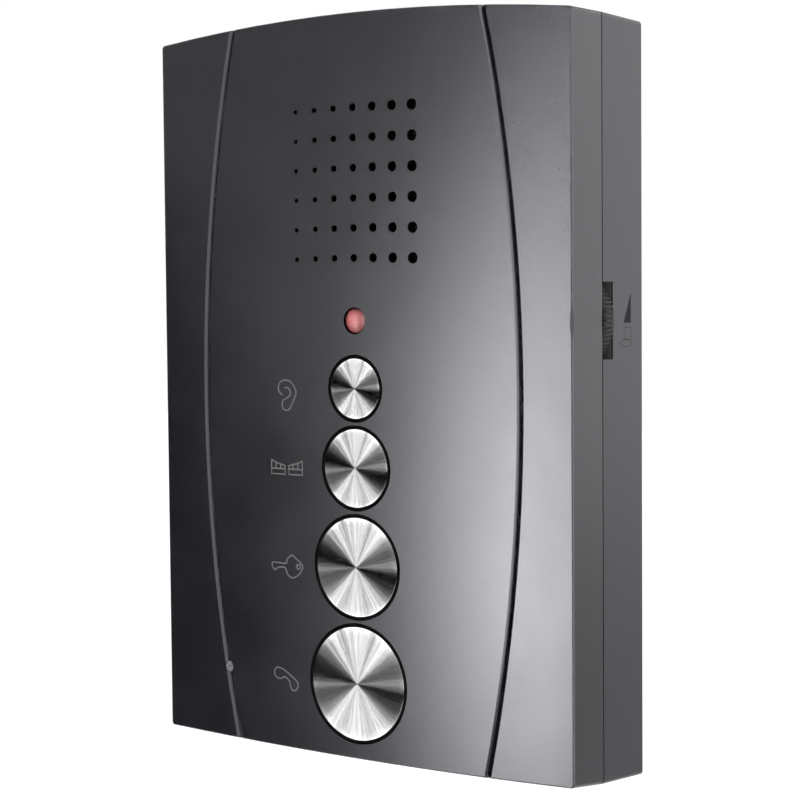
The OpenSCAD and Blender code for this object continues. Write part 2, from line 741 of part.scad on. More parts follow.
// Ribbed thumbwheel
module volume_wheel() color(black) difference() {
    root_r = wheel_r - rib_h;
    step = 360 / rib_count;
    ribs = [
        for (i = [0 : rib_count - 1])
        for (p = [[root_r, -0.34], [wheel_r, -0.2], [wheel_r, 0.2], [root_r, 0.34]])
        let (a = (i + p[1]) * step) [p[0] * cos(a), p[0] * sin(a)]
    ];
    at(wheel_x, wheel_z, wheel_front) rotate([-90, 0, 0]) linear_extrude(wheel_t) polygon(ribs);
    bar(wheel_x, wheel_z, shaft_r + pilot_clear, wheel_front - over, wheel_rear + over);
}

// Shaft of the potentiometer, drilled for the wheel's screw
module volume_shaft() color(brass) difference() {
    bar(wheel_x, wheel_z, shaft_r, board_rear + pot_floor + inner_gap, wheel_rear);
    bar(wheel_x, wheel_z, small_screw_r + pilot_clear, wheel_front, wheel_rear + over);
}

module wheel_screw() color(steel)
    screw(wheel_x, wheel_z, small_screw_r, shaft_r + wheel_lap, small_head_h,
        wheel_front + pilot_floor, wheel_rear);

// Block of wire clamps: a screw well on the back and a wire hole below for each way
module terminal_block() color([0.2, 0.45, 0.3]) difference() {
    block(0, terminal_z, terminal_l, terminal_w, board_rear, terminal_rear);
    for (x = terminal_x) {
        bar(x, terminal_z, well_r, terminal_rear - well_depth, terminal_rear + over);
        block(x, terminal_z - terminal_w / 2, wire_hole, terminal_w / 2,
            board_rear + wire_floor, board_rear + wire_floor + wire_hole);
    }
}

module terminal_screws() color(steel) for (x = terminal_x) difference() {
    r = well_r - pilot_clear;
    head = terminal_rear - clamp_recess;
    bar(x, terminal_z, r, terminal_rear - well_depth, head);
    block(x, terminal_z, 2 * well_r, clamp_slot[0], head - clamp_slot[1], head + over);
}

module terminal_pins() color(brass)
    for (p = terminal_pins_at()) bar(p[0], p[1], pin_r, board_front - pin_out, board_rear);

module amplifier_chip() color(black)
    block(-side_x, chip_z, chip_w, chip_l, board_rear + chip_lift, board_rear + chip_lift + chip_h);

// Legs down both sides of the chip, standing on the board
module chip_legs() color(steel) for (s = [-1, 1], i = [-1.5, -0.5, 0.5, 1.5])
    block(-side_x + s * (chip_w + leg_l) / 2, chip_z + i * (chip_l - leg_w) / 4, leg_l, leg_w,
        board_rear, board_rear + chip_h / 2);

module capacitors() color([0.12, 0.16, 0.3])
    for (p = capacitor_places) bar(p[0], p[1], capacitor_d / 2, board_rear, board_rear + capacitor_h);

module resistors() color(black) for (i = [0 : 5])
    at(-side_x + chip_w + (i % 2) * resistor_pitch[0], chip_z - chip_l / 2 + floor(i / 2) * resistor_pitch[1],
        board_rear)
        cube(resistor_size);

front_cover();
rear_base();
case_screws();
grille_cloth();
speaker_gasket();
speaker_frame();
speaker_cone();
speaker_dust_cap();
voice_coil();
speaker_magnet();
speaker_yoke();
speaker_tabs();
speaker_leads();
speaker_washers();
speaker_screws();
circuit_board();
board_screws();
status_lamp();
lamp_legs();
mic_boot();
mic_capsule();
mic_pins();
switch_bodies();
switch_plates();
volume_pot();
pot_pins();
terminal_block();
terminal_screws();
terminal_pins();
amplifier_chip();
chip_legs();
capacitors();
resistors();
listen_cap();
listen_carrier();
listen_stem();
gate_cap();
gate_carrier();
gate_stem();
door_cap();
door_carrier();
door_stem();
talk_cap();
talk_carrier();
talk_stem();
volume_wheel();
volume_shaft();
wheel_screw();
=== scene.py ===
"""Looks of a wall-mounted hands-free intercom station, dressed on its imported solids."""

import math

import bmesh
import bpy
import numpy as np
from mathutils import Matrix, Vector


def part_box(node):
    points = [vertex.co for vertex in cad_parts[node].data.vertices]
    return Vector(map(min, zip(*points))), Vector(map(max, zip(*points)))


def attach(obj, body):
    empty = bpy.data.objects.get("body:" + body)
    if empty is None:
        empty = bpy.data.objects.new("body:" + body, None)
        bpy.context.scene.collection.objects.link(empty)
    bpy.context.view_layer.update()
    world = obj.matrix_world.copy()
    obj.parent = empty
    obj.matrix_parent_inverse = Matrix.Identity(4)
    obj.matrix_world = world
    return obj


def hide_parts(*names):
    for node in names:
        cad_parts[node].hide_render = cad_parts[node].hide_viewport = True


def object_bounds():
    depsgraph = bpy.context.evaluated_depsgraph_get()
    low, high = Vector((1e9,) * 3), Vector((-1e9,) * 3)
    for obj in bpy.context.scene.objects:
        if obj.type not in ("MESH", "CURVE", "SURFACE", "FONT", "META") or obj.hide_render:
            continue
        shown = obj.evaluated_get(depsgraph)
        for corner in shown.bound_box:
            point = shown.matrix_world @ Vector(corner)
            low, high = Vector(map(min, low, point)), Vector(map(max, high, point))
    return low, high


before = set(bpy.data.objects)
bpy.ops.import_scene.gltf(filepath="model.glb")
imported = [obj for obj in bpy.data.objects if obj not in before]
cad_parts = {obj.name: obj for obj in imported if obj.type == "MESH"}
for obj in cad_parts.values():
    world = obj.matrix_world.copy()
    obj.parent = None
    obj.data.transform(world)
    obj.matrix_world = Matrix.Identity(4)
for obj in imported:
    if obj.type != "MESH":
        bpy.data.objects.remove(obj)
cad_low, cad_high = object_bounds()

bl_info = {
    "name": "Intercom Station",
    "version": (1, 0, 0),
    "blender": (4, 5, 0),
    "location": "3D View > Sidebar > Intercom",
    "description": "Dresses the solids of a wall intercom station with finished surfaces",
    "category": "Object",
}

MM = 0.001
BUTTONS = ("listen", "gate", "door", "talk")

# Places that the solids give: the front face and the right side
front_low, front_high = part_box("front_cover")
FRONT_Y = front_low.y
SIDE_X = front_high.x


def length(name, description, default):
    """A size in metres that a user may change."""
    return bpy.props.FloatProperty(
        name=name, description=description, default=default, min=0.0, precision=5,
        subtype="DISTANCE", unit="LENGTH",
    )


def share(name, description, default, high=1.0):
    """A plain number from nought to its highest value."""
    return bpy.props.FloatProperty(
        name=name, description=description, default=default, min=0.0, max=high, subtype="FACTOR"
    )


def tint(name, description, default):
    """A linear colour."""
    return bpy.props.FloatVectorProperty(
        name=name, description=description, default=default, size=3, min=0.0, max=1.0, subtype="COLOR"
    )


class ShellSettings(bpy.types.PropertyGroup):
    """Finish of the two plastic shells."""

    front_colour: tint("Front colour", "Graphite plastic of the front shell", (0.0052, 0.0057, 0.0076))
    rear_colour: tint("Rear colour", "Grey plastic of the rear shell", (0.0075, 0.0072, 0.0110))
    front_gloss: share("Front roughness", "Roughness of the satin front", 0.19)
    rear_gloss: share("Rear roughness", "Roughness of the rear shell", 0.30)
    grain: length("Grain", "Size of the moulded grain", 0.50 * MM)
    # Pale inside colour: raw plastic, and painted light that stands in for light the shadowed wheel slot
    # doesn't get
    raw_colour_and_painted_light: tint("Raw colour", "Unpainted plastic inside the rear shell", (0.15, 0.15, 0.155))
    corner_height: length("Corner height", "Height of the upper corners above the middle", 75.0 * MM)


class ButtonSettings(bpy.types.PropertyGroup):
    """Finish of the spun metal button faces."""

    metal: tint("Metal", "Colour of the spun metal", (0.62, 0.62, 0.628))
    roughness: share("Roughness", "Roughness of the spun metal", 0.22)
    rim_round: length("Rim rounding", "Rounding at the rim of the face", 0.10 * MM)
    ring_pitch: length("Ring pitch", "Distance between the fine turning rings", 0.12 * MM)
    rim_colour: tint("Rim colour", "Black carrier around the metal face", (0.004, 0.004, 0.0042))


class LampSettings(bpy.types.PropertyGroup):
    """Finish of the status lamp."""

    lens: tint("Lens", "Milky red in the middle of the lamp's lens", (0.52, 0.17, 0.17))
    # The deeper red at the rim is painted shade where the dome turns away from the light
    lens_rim_shade: tint("Lens rim", "Deeper red at the rim of the lens", (0.15, 0.02, 0.02))


class WheelSettings(bpy.types.PropertyGroup):
    """Shape and finish of the thumbwheel."""

    colour: tint("Colour", "Black plastic of the wheel", (0.045, 0.045, 0.046))
    ribs: bpy.props.IntProperty(
        name="Ribs", description="Number of ribs round the wheel", default=72, min=12, max=120
    )
    rib_depth: length("Rib depth", "Depth of the grooves between the ribs", 0.40 * MM)
    chamfer: length("Chamfer", "Chamfer on both edges of the ribs", 0.30 * MM)


class MarkSettings(bpy.types.PropertyGroup):
    """Printed marks on the front and on the right side."""

    column: length("Column", "Distance of the pictures from the middle of the panel", 18.4 * MM)
    line: length("Line", "Width of the printed lines", 0.28 * MM)
    film: length("Film", "Thickness of the printed film", 0.02 * MM)
    picture_colour: tint("Picture colour", "Light grey ink of the pictures", (0.085, 0.085, 0.088))
    wedge_colour: tint("Wedge colour", "Dark ink of the volume mark", (0.012, 0.012, 0.014))


class StageSettings(bpy.types.PropertyGroup):
    """Camera, light and floor."""

    camera_place: bpy.props.FloatVectorProperty(
        name="Camera place", description="Place of the camera", size=3,
        default=(260.30 * MM, -364.37 * MM, 23.17 * MM), subtype="TRANSLATION", unit="LENGTH",
    )
    camera_turn: bpy.props.FloatVectorProperty(
        name="Camera turn", description="Turn of the camera", size=3,
        default=(math.radians(86.728), math.radians(0.492), math.radians(36.345)),
        subtype="EULER", unit="ROTATION",
    )
    lens: bpy.props.FloatProperty(
        name="Lens", description="Focal length on a 36 mm sensor, in millimetres", default=93.142, min=1.0
    )
    floor_drop: length("Floor drop", "Distance from the station down to the floor", 0.26)
    floor_colour: tint("Floor colour", "Pale floor", (0.82, 0.82, 0.82))
    ambient: share("Ambient", "Strength of the light from all around", 0.55, 2.0)


class StationSettings(bpy.types.PropertyGroup):
    """All settings of the station."""

    shell: bpy.props.PointerProperty(type=ShellSettings)
    button: bpy.props.PointerProperty(type=ButtonSettings)
    lamp: bpy.props.PointerProperty(type=LampSettings)
    wheel: bpy.props.PointerProperty(type=WheelSettings)
    mark: bpy.props.PointerProperty(type=MarkSettings)
    stage: bpy.props.PointerProperty(type=StageSettings)


# Surfaces


def grid_faces(rows, columns, wrap_rows=False, wrap_columns=True):
    """Quads between neighbouring points of a grid that is numbered row by row."""
    i = np.arange(rows if wrap_rows else rows - 1)[:, None]
    j = np.arange(columns if wrap_columns else columns - 1)[None, :]
    below = (i + 1) % rows
    right = (j + 1) % columns
    corners = [i * columns + j, i * columns + right, below * columns + right, below * columns + j]
    return np.stack(np.broadcast_arrays(*corners), axis=-1).reshape(-1, 4)


def merge(*surfaces):
    """Joins several (points, faces) pairs into one pair."""
    starts = np.cumsum([0] + [len(points) for points, _ in surfaces[:-1]])
    points = np.concatenate([points for points, _ in surfaces])
    faces = np.concatenate([faces + start for (_, faces), start in zip(surfaces, starts)])
    return points, faces


def revolve(profile, centre, steps):
    """Turns a profile of (radius, y) about an axis along Y through centre, given as (x, z).

    Point (i, j) is (x + r_i cos a_j, y_i, z + r_i sin a_j), with a_j going once round.
    """
    profile = np.asarray(profile, float)
    angle = np.linspace(0.0, 2.0 * np.pi, steps, endpoint=False)
    radius, y = profile[:, 0, None], profile[:, 1, None]
    x = centre[0] + radius * np.cos(angle)
    z = centre[1] + radius * np.sin(angle)
    points = np.stack(np.broadcast_arrays(x, y, z), axis=-1)
    return points.reshape(-1, 3), grid_faces(len(profile), steps)


def arc(centre, radius, start, end, count):
    """Points on a circle from one angle to another, in degrees."""
    angle = np.radians(np.linspace(start, end, count))
    return np.stack([centre[0] + radius * np.cos(angle), centre[1] + radius * np.sin(angle)], axis=1)


def smooth(points, closed, steps=10):
    """Curve through the points: on each span the cubic whose slopes are half the span of its neighbours."""
    points = np.asarray(points, float)
    if closed:
        padded = np.concatenate([points[-1:], points, points[:2]])
    else:
        padded = np.concatenate([points[:1], points, points[-1:]])
    a, b, c, d = (padded[k:len(padded) - 3 + k, None, :] for k in range(4))
    t = np.linspace(0.0, 1.0, steps, endpoint=False)[None, :, None]
    curve = 0.5 * (2 * b + (c - a) * t + (2 * a - 5 * b + 4 * c - d) * t**2 + (3 * b - a - 3 * c + d) * t**3)
    curve = curve.reshape(-1, 2)
    return curve if closed else np.concatenate([curve, points[-1:]])


def stroke(path, closed, width, film):
    """Low ribbon along a flat path, as (across, up, rise) points.

    The half width is w on the path and w sqrt(1 - (1 - s/w)^2) within w of an open end, so the ends are
    round. The section is a trapezium: its foot at rise 0 and a narrower top at rise film.
    """
    half = width / 2
    path = np.asarray(path, float)
    ring = np.concatenate([path, path[:1]]) if closed else path
    run = np.concatenate([[0.0], np.cumsum(np.linalg.norm(np.diff(ring, axis=0), axis=1))])
    if closed:
        at = run[:-1]
        taper = np.ones_like(at)
        ahead, behind = np.roll(path, -1, axis=0), np.roll(path, 1, axis=0)
        middle = path
    else:
        cap = half * (1 - np.cos(np.linspace(0.0, np.pi / 2, 6)))
        at = np.unique(np.concatenate([cap, run[(run > half) & (run < run[-1] - half)], run[-1] - cap]))
        near = np.minimum(at, run[-1] - at)
        taper = np.sqrt(np.clip(1 - np.clip(1 - near / half, 0, 1) ** 2, 0, 1))
        middle = np.stack([np.interp(at, run, path[:, k]) for k in range(2)], axis=1)
        ahead = np.concatenate([middle[1:], middle[-1:]])
        behind = np.concatenate([middle[:1], middle[:-1]])
    along = ahead - behind
    along /= np.linalg.norm(along, axis=1, keepdims=True)
    normal = np.stack([-along[:, 1], along[:, 0]], axis=1)
    section = np.array([(-1.0, 0.0), (-0.8, 1.0), (0.8, 1.0), (1.0, 0.0)])
    flat = middle[:, None, :] + normal[:, None, :] * (section[None, :, :1] * half * taper[:, None, None])
    rise = np.broadcast_to(section[None, :, 1:] * film * taper[:, None, None], flat.shape[:2] + (1,))
    points = np.concatenate([flat, rise], axis=2).reshape(-1, 3)
    return points, grid_faces(len(middle), len(section), wrap_rows=closed)


def plate(outline, film):
    """Low plate inside an outline, as (across, up, rise) points from its edge to the middle, foot and top."""
    outline = np.asarray(outline, float)
    middle = outline.mean(axis=0)
    rows = np.array([(1.0, 0.0), (0.0, 0.0), (0.0, 1.0), (1.0, 1.0)])  # share towards the middle, rise
    flat = outline[None] + (middle - outline)[None] * rows[:, None, :1]
    rise = np.broadcast_to(rows[:, None, 1:] * film, flat.shape[:2] + (1,))
    points = np.concatenate([flat, rise], axis=2).reshape(-1, 3)
    return points, grid_faces(len(rows), len(outline))


def on_front(points):
    """(across, up, rise) to places on the front face."""
    return np.stack([points[:, 0], FRONT_Y - points[:, 2], points[:, 1]], axis=1)


def on_side(points):
    """(depth, up, rise) to places on the right side, with the depth behind the front face."""
    return np.stack([SIDE_X + points[:, 2], FRONT_Y + points[:, 0], points[:, 1]], axis=1)


def link_new(name, data):
    """New object with its data, linked to the scene."""
    item = bpy.data.objects.new(name, data)
    bpy.context.scene.collection.objects.link(item)
    return item


def new_piece(name, points, faces, material, sharp=35.0):
    """Closed mesh object from arrays: poles merged, faces outwards, edges over the angle kept sharp."""
    mesh = bpy.data.meshes.new(name)
    mesh.from_pydata(points.tolist(), [], faces.tolist())
    shaped = bmesh.new()
    shaped.from_mesh(mesh)
    bmesh.ops.remove_doubles(shaped, verts=shaped.verts, dist=1e-7)
    bmesh.ops.dissolve_degenerate(shaped, edges=shaped.edges, dist=1e-7)
    bmesh.ops.recalc_face_normals(shaped, faces=shaped.faces)
    shaped.to_mesh(mesh)
    shaped.free()
    mesh.shade_smooth()
    mesh.set_sharp_from_angle(angle=math.radians(sharp))
    mesh.materials.append(material)
    return link_new(name, mesh)


# Materials


def feed(tree, socket, value):
    """Links a socket to another, or sets its value; a colour of three gets its alpha."""
    if isinstance(value, bpy.types.NodeSocket):
        tree.links.new(value, socket)
    elif socket.type == "RGBA":
        socket.default_value = (*tuple(value)[:3], 1.0)
    else:
        socket.default_value = value


def add(tree, kind, values=None, **settings):
    """New node with its settings, and its inputs fed by name or number."""
    node = tree.nodes.new(kind)
    for key, value in settings.items():
        setattr(node, key, value)
    for key, value in (values or {}).items():
        feed(tree, node.inputs[key], value)
    return node


def math_node(tree, operation, first, second=0.0):
    """Result of one sum on two values."""
    return add(tree, "ShaderNodeMath", {0: first, 1: second}, operation=operation).outputs[0]


def object_place(tree):
    """Place of the shaded point on its piece."""
    return add(tree, "ShaderNodeTexCoord").outputs["Object"]


def noise(tree, place, scale, detail, roughness=0.5):
    """Noise from about nought to one, read at a place."""
    values = {"Vector": place, "Scale": scale, "Detail": detail, "Roughness": roughness}
    return add(tree, "ShaderNodeTexNoise", values).outputs["Fac"]


def spread(tree, value, low, high, to_low, to_high):
    """A value mapped from one range to another and held inside it."""
    values = {"Value": value, "From Min": low, "From Max": high, "To Min": to_low, "To Max": to_high}
    return add(tree, "ShaderNodeMapRange", values).outputs["Result"]


def blend(tree, factor, first, second):
    """Mix of two colours."""
    node = add(tree, "ShaderNodeMix", data_type="RGBA")
    feed(tree, node.inputs[0], factor)
    feed(tree, node.inputs[6], first)
    feed(tree, node.inputs[7], second)
    return node.outputs[2]


def new_material(name, **constants):
    """Material with one Principled shader; constants are set on the shader's own sockets."""
    material = bpy.data.materials.new(name)
    material.use_nodes = True
    tree = material.node_tree
    shader = tree.nodes["Principled BSDF"]
    for key, value in constants.items():
        feed(tree, shader.inputs[key.replace("_", " ")], value)
    return material, tree, shader


def new_group(name, inputs, outputs):
    """Shader group with float and colour sockets; returns it with its two end nodes."""
    group = bpy.data.node_groups.new(name, "ShaderNodeTree")
    for label, kind in inputs.items():
        group.interface.new_socket(label, in_out="INPUT", socket_type=kind)
    for label, kind in outputs.items():
        group.interface.new_socket(label, in_out="OUTPUT", socket_type=kind)
    return group, group.nodes.new("NodeGroupInput"), group.nodes.new("NodeGroupOutput")


NUMBER = "NodeSocketFloat"
COLOUR = "NodeSocketColor"


def grain_group():
    """Moulded or cast grain: mottled colour, uneven roughness and a fine height, all from object noise."""
    name = "Moulded grain"
    if name in bpy.data.node_groups:
        return bpy.data.node_groups[name]
    inputs = {"Colour": COLOUR, "Mottle": NUMBER, "Roughness": NUMBER, "Uneven": NUMBER, "Per Metre": NUMBER}
    outputs = {"Colour": COLOUR, "Roughness": NUMBER, "Height": NUMBER}
    group, start, end = new_group(name, inputs, outputs)
    place = object_place(group)
    fine = noise(group, place, start.outputs["Per Metre"], 2.0, 0.6)
    broad_scale = math_node(group, "MULTIPLY", start.outputs["Per Metre"], 0.035)
    broad = noise(group, place, broad_scale, 3.0, 0.55)
    fine_part = math_node(group, "MULTIPLY", fine, 0.8)
    both = math_node(group, "ADD", fine_part, math_node(group, "MULTIPLY", broad, 0.2))
    centred = spread(group, both, 0.3, 0.7, -1.0, 1.0)
    mottled = math_node(group, "MULTIPLY", centred, start.outputs["Mottle"])
    value = math_node(group, "MAXIMUM", math_node(group, "ADD", mottled, 1.0), 0.1)
    tinted = add(group, "ShaderNodeHueSaturation", {"Color": start.outputs["Colour"], "Value": value})
    rough = math_node(group, "MULTIPLY", spread(group, broad, 0.3, 0.7, -1.0, 1.0), start.outputs["Uneven"])
    feed(group, end.inputs["Colour"], tinted.outputs["Color"])
    feed(group, end.inputs["Roughness"], math_node(group, "ADD", rough, start.outputs["Roughness"]))
    feed(group, end.inputs["Height"], fine)
    return group


def grained(name, colour, roughness, grain, mottle=0.12, uneven=0.04, relief=0.01 * MM, **constants):
    """Material whose colour, roughness and relief come from the moulded grain."""
    material, tree, shader = new_material(name, **constants)
    group = add(tree, "ShaderNodeGroup", node_tree=grain_group())
    values = {
        "Colour": colour, "Mottle": mottle, "Roughness": roughness, "Uneven": uneven,
        "Per Metre": 1.0 / grain,
    }
    for key, value in values.items():
        feed(tree, group.inputs[key], value)
    bump = add(tree, "ShaderNodeBump", {
        "Strength": 1.0, "Distance": relief, "Height": group.outputs["Height"],
    })
    feed(tree, shader.inputs["Base Color"], group.outputs["Colour"])
    feed(tree, shader.inputs["Roughness"], group.outputs["Roughness"])
    feed(tree, shader.inputs["Normal"], bump.outputs["Normal"])
    return material


def spun_metal(settings):
    """Metal faced on a lathe: gloss drawn out along the radius, fine rings and faint radial streaks."""
    material, tree, shader = new_material("spun_finish", Metallic=1.0, Anisotropic=1.0)
    radial = add(tree, "ShaderNodeAttribute", attribute_name="radial").outputs["Vector"]
    radius = add(tree, "ShaderNodeAttribute", attribute_name="radius").outputs["Fac"]
    streak = noise(tree, radial, 14.0, 4.0)
    rings = math_node(tree, "SINE", math_node(tree, "MULTIPLY", radius, 2.0 * math.pi / settings.ring_pitch))
    shade = spread(tree, streak, 0.3, 0.7, 0.94, 1.03)
    tinted = add(tree, "ShaderNodeHueSaturation", {"Color": settings.metal, "Value": shade})
    rough = spread(tree, streak, 0.3, 0.7, settings.roughness - 0.03, settings.roughness + 0.03)
    bump = add(tree, "ShaderNodeBump", {"Strength": 0.15, "Distance": 0.002 * MM, "Height": rings})
    feed(tree, shader.inputs["Base Color"], tinted.outputs["Color"])
    feed(tree, shader.inputs["Roughness"], rough)
    feed(tree, shader.inputs["Tangent"], radial)
    feed(tree, shader.inputs["Normal"], bump.outputs["Normal"])
    return material


def brushed(name, colour, roughness):
    """Plated or bare metal with fine lines along the depth and a mottled tone."""
    material, tree, shader = new_material(name, Metallic=1.0)
    place = object_place(tree)
    drawn = add(tree, "ShaderNodeMapping", {"Vector": place, "Scale": (1.0, 0.05, 1.0)}).outputs["Vector"]
    lines = noise(tree, drawn, 4.0 / MM, 3.0)
    value = spread(tree, lines, 0.3, 0.7, 0.86, 1.08)
    tinted = add(tree, "ShaderNodeHueSaturation", {"Color": colour, "Value": value})
    bump = add(tree, "ShaderNodeBump", {"Strength": 0.5, "Distance": 0.004 * MM, "Height": lines})
    feed(tree, shader.inputs["Base Color"], tinted.outputs["Color"])
    feed(tree, shader.inputs["Roughness"], spread(tree, lines, 0.3, 0.7, roughness - 0.06, roughness + 0.06))
    feed(tree, shader.inputs["Normal"], bump.outputs["Normal"])
    return material


def bands(tree, place, direction, pitch):
    """Smooth bands of one pitch across a direction, from nought to one."""
    values = {"Vector": place, "Scale": 0.314 / pitch, "Distortion": 0.0}
    return add(tree, "ShaderNodeTexWave", values, bands_direction=direction).outputs["Fac"]


def two_tone(first, second, factor, tree, shader, relief):
    """Feeds a shader with two colours mixed by a factor that is its relief too."""
    bump = add(tree, "ShaderNodeBump", {"Strength": 1.0, "Distance": relief, "Height": factor})
    feed(tree, shader.inputs["Base Color"], blend(tree, factor, second, first))
    feed(tree, shader.inputs["Normal"], bump.outputs["Normal"])


def woven(name, first, second, pitch):
    """Open weave: threads in two directions, each hiding the other in turn."""
    material, tree, shader = new_material(name, Roughness=0.95, Specular_IOR_Level=0.1)
    place = object_place(tree)
    across, up = bands(tree, place, "X", pitch), bands(tree, place, "Z", pitch)
    two_tone(first, second, math_node(tree, "MULTIPLY", across, up), tree, shader, 0.05 * MM)
    return material


def wound(name, first, second, pitch, metallic=0.4):
    """Turns of wire, or a banded sleeve, stacked along the depth."""
    material, tree, shader = new_material(name, Roughness=0.35, Metallic=metallic)
    place = object_place(tree)
    two_tone(first, second, bands(tree, place, "Y", pitch), tree, shader, 0.02 * MM)
    return material


def laminate(name, mask, track, pitch):
    """Lacquered board: conductor tracks show through the solder mask as paler, slightly raised lines."""
    material, tree, shader = new_material(name, Roughness=0.32)
    place = object_place(tree)
    both = math_node(tree, "MAXIMUM", bands(tree, place, "X", pitch), bands(tree, place, "Z", 1.7 * pitch))
    lines = spread(tree, both, 0.80, 0.86, 0.0, 1.0)
    areas = spread(tree, noise(tree, place, 0.06 / MM, 0.0), 0.45, 0.5, 0.0, 1.0)
    shown = math_node(tree, "MULTIPLY", lines, areas)
    two_tone(track, mask, shown, tree, shader, 0.03 * MM)
    return material


# Operators


class STATION_OT_shells(bpy.types.Operator):
    """Front and rear shell with a satin grain"""

    bl_idname = "station.shells"
    bl_label = "Shells"

    def execute(self, context):
        shell = context.scene.station.shell
        front = grained(
            "front_finish", shell.front_colour, shell.front_gloss, shell.grain, 1.4, 0.01, 0.0030 * MM,
            Specular_Tint=(0.95, 0.94, 1.0),
        )
        rear = grained(
            "rear_finish", shell.rear_colour, shell.rear_gloss, shell.grain, 0.5, 0.01, 0.0015 * MM,
            Specular_Tint=(0.95, 0.94, 1.0), Specular_IOR_Level=0.42,
        )
        # The inside of the rear shell gets a pale colour: raw plastic, kept light as painted light in the
        # shadowed wheel slot
        self.leave_raw_and_painted_light(rear, shell.raw_colour_and_painted_light)
        for material in (front, rear):
            self.bow_ends(material, shell.corner_height)
        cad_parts["front_cover"].data.materials[0] = front
        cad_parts["rear_base"].data.materials[0] = rear
        return {"FINISHED"}

    @staticmethod
    def bow_ends(material, corner_height):
        """Shades the arched top as one curve: on faces that look up, the normal leans by x over its radius.

        The arch rises by s over a half width w, so its radius is (w^2 + s^2) / 2s.
        """
        looks_up = 0.97
        tree = material.node_tree
        bump = next(node for node in tree.nodes if node.type == "BUMP")
        rise = front_high.z - corner_height
        radius = (SIDE_X**2 + rise**2) / (2.0 * rise)
        place = object_place(tree)
        x = add(tree, "ShaderNodeSeparateXYZ", {0: place}).outputs["X"]
        normal = add(tree, "ShaderNodeNewGeometry").outputs["Normal"]
        flat = add(tree, "ShaderNodeSeparateXYZ", {0: normal}).outputs
        lean = math_node(tree, "DIVIDE", x, radius)
        bowed = add(tree, "ShaderNodeCombineXYZ", {"X": lean, "Y": flat["Y"], "Z": flat["Z"]}).outputs[0]
        upward = math_node(tree, "GREATER_THAN", flat["Z"], looks_up)
        mixed = add(tree, "ShaderNodeMix", data_type="VECTOR")
        feed(tree, mixed.inputs[0], upward)
        feed(tree, mixed.inputs[4], normal)
        feed(tree, mixed.inputs[5], bowed)
        unit = add(tree, "ShaderNodeVectorMath", {0: mixed.outputs[1]}, operation="NORMALIZE").outputs[0]
        feed(tree, bump.inputs["Normal"], unit)

    @staticmethod
    def leave_raw_and_painted_light(material, colour):
        """Gives the material its raw colour inside a box that lies a skin within the shell's outer faces. The
        raw colour is kept pale as painted light, which stands in for the light that the shadowed wheel slot
        doesn't get.
        """
        skin, end = 0.3 * MM, 74.0 * MM
        tree = material.node_tree
        shader = tree.nodes["Principled BSDF"]
        painted = shader.inputs["Base Color"].links[0].from_socket
        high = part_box("rear_base")[1]
        place = object_place(tree)
        axes = add(tree, "ShaderNodeSeparateXYZ", {0: place}).outputs
        side = math_node(tree, "ABSOLUTE", axes["X"])
        up = math_node(tree, "ABSOLUTE", axes["Z"])
        inside = math_node(tree, "LESS_THAN", side, high.x - skin)
        for value, edge in ((axes["Y"], high.y - skin), (up, end)):
            inside = math_node(tree, "MULTIPLY", inside, math_node(tree, "LESS_THAN", value, edge))
        # The pale colour inside is painted light in the shadowed slot as well as raw plastic
        feed(tree, shader.inputs["Base Color"], blend(tree, inside, painted, colour))


class STATION_OT_buttons(bpy.types.Operator):
    """Spun metal faces of the four buttons and their black carriers"""

    bl_idname = "station.buttons"
    bl_label = "Buttons"

    def execute(self, context):
        button = context.scene.station.button
        metal = spun_metal(button)
        black = grained("carrier_finish", button.rim_colour, 0.7, 0.2 * MM, Specular_IOR_Level=0.2)
        for name in BUTTONS:
            low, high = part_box(f"{name}_cap")
            centre = ((low.x + high.x) / 2, (low.z + high.z) / 2)
            radius = (high.x - low.x) / 2
            shoulder = FRONT_Y + button.rim_round
            rim = arc((radius - button.rim_round, shoulder), button.rim_round, -90, 0, 6)
            crown = np.linspace(0.0, 1.0, 9)[:-1, None]
            tip = np.array([[0.0, low.y]])
            profile = np.concatenate([tip + crown * (rim[0] - tip), rim, [(radius, high.y), (0.0, high.y)]])
            points, faces = revolve(profile, centre, 128)
            piece = new_piece(f"{name}_face", points, faces, metal, sharp=50.0)
            self.note_turning(piece.data, centre)
            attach(piece, f"{name}_button")
            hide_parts(f"{name}_cap")
            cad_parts[f"{name}_carrier"].data.materials[0] = black
        return {"FINISHED"}

    @staticmethod
    def note_turning(mesh, centre):
        """Stores each point's radius and its direction from the axis, for the metal's rings and streaks."""
        place = np.empty(len(mesh.vertices) * 3)
        mesh.vertices.foreach_get("co", place)
        away = place.reshape(-1, 3) - (centre[0], 0.0, centre[1])
        away[:, 1] = 0.0
        radius = np.linalg.norm(away, axis=1)
        away /= np.maximum(radius, 1e-9)[:, None]
        away = away.ravel().astype(np.float32)
        mesh.attributes.new("radius", "FLOAT", "POINT").data.foreach_set("value", radius.astype(np.float32))
        mesh.attributes.new("radial", "FLOAT_VECTOR", "POINT").data.foreach_set("vector", away)


